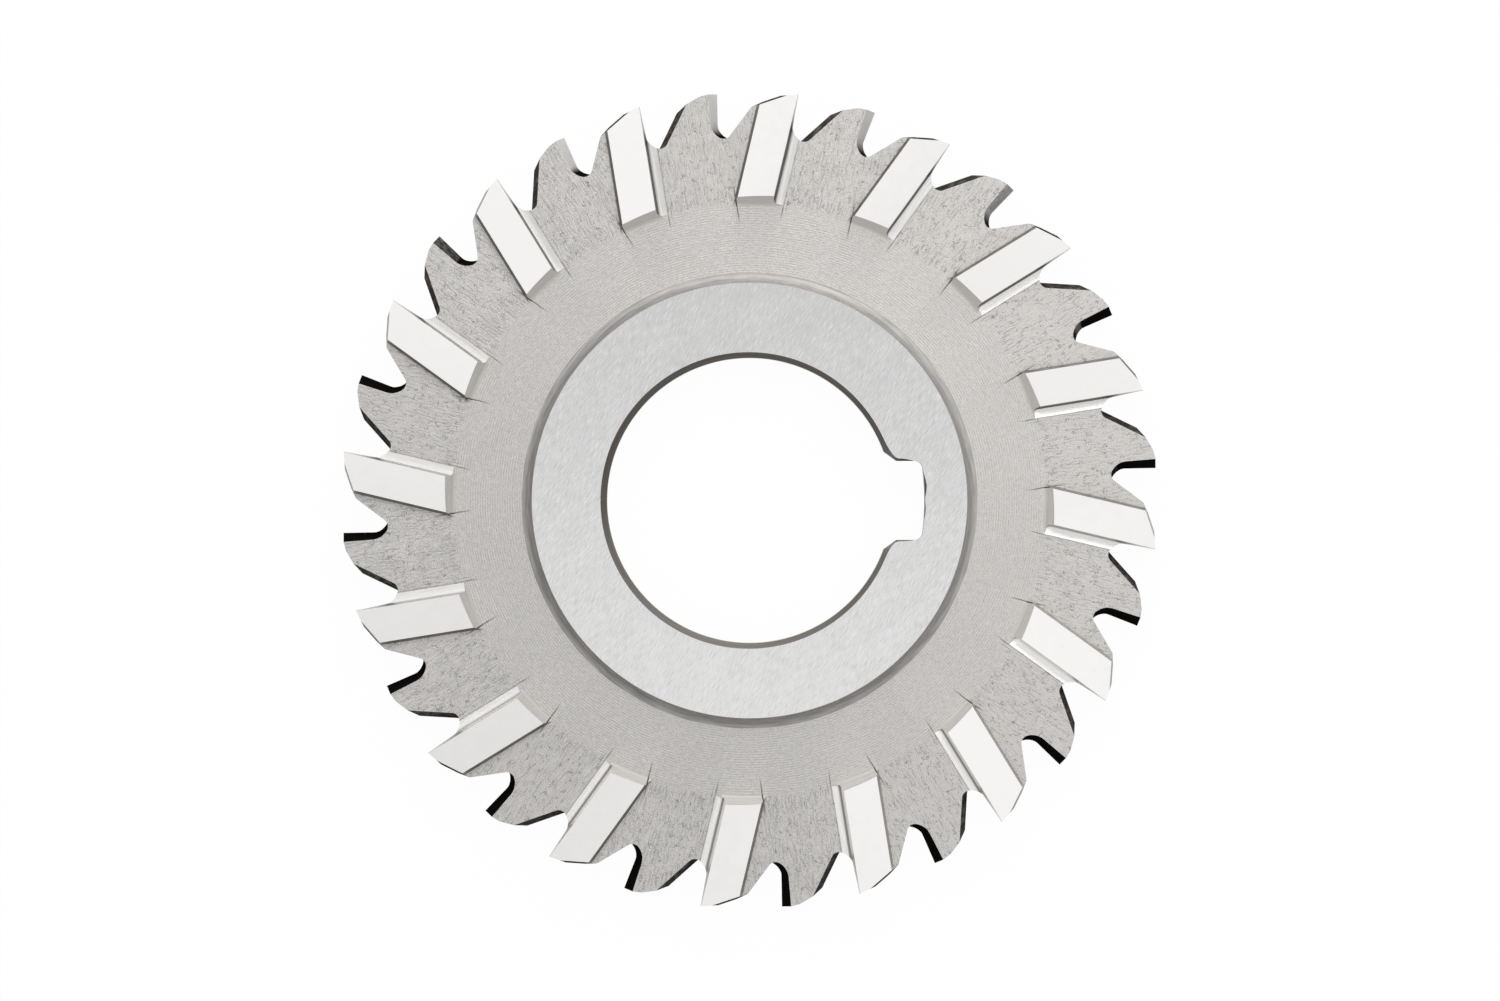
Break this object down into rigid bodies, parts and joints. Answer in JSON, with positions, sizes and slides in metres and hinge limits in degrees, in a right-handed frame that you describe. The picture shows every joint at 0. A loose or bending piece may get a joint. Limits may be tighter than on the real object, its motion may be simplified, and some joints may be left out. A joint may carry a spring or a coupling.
{
  "type": "staggered-tooth slitting saw",
  "caption": "Flat disc saw with a raised ground hub, keyed arbor bore and staggered rim teeth that carry raised side-cutting lands.",
  "frame": {"origin": "the bore's axis, in the plane of the lower face that the saw lies on", "axes": "+Z along the bore's axis out of the upper face, +X through the middle of the keyway, teeth cut clockwise seen from +Z"},
  "size_m": [0.0628, 0.0628, 0.004],
  "materials": {
    "tool_steel": "hardened high-speed steel with a ground hub, a turned ring, matt tooth pockets and bright ground side lands"
  },
  "bodies": {
    "root": {"slitting_saw": "tool_steel"}
  },
  "joints": []
}
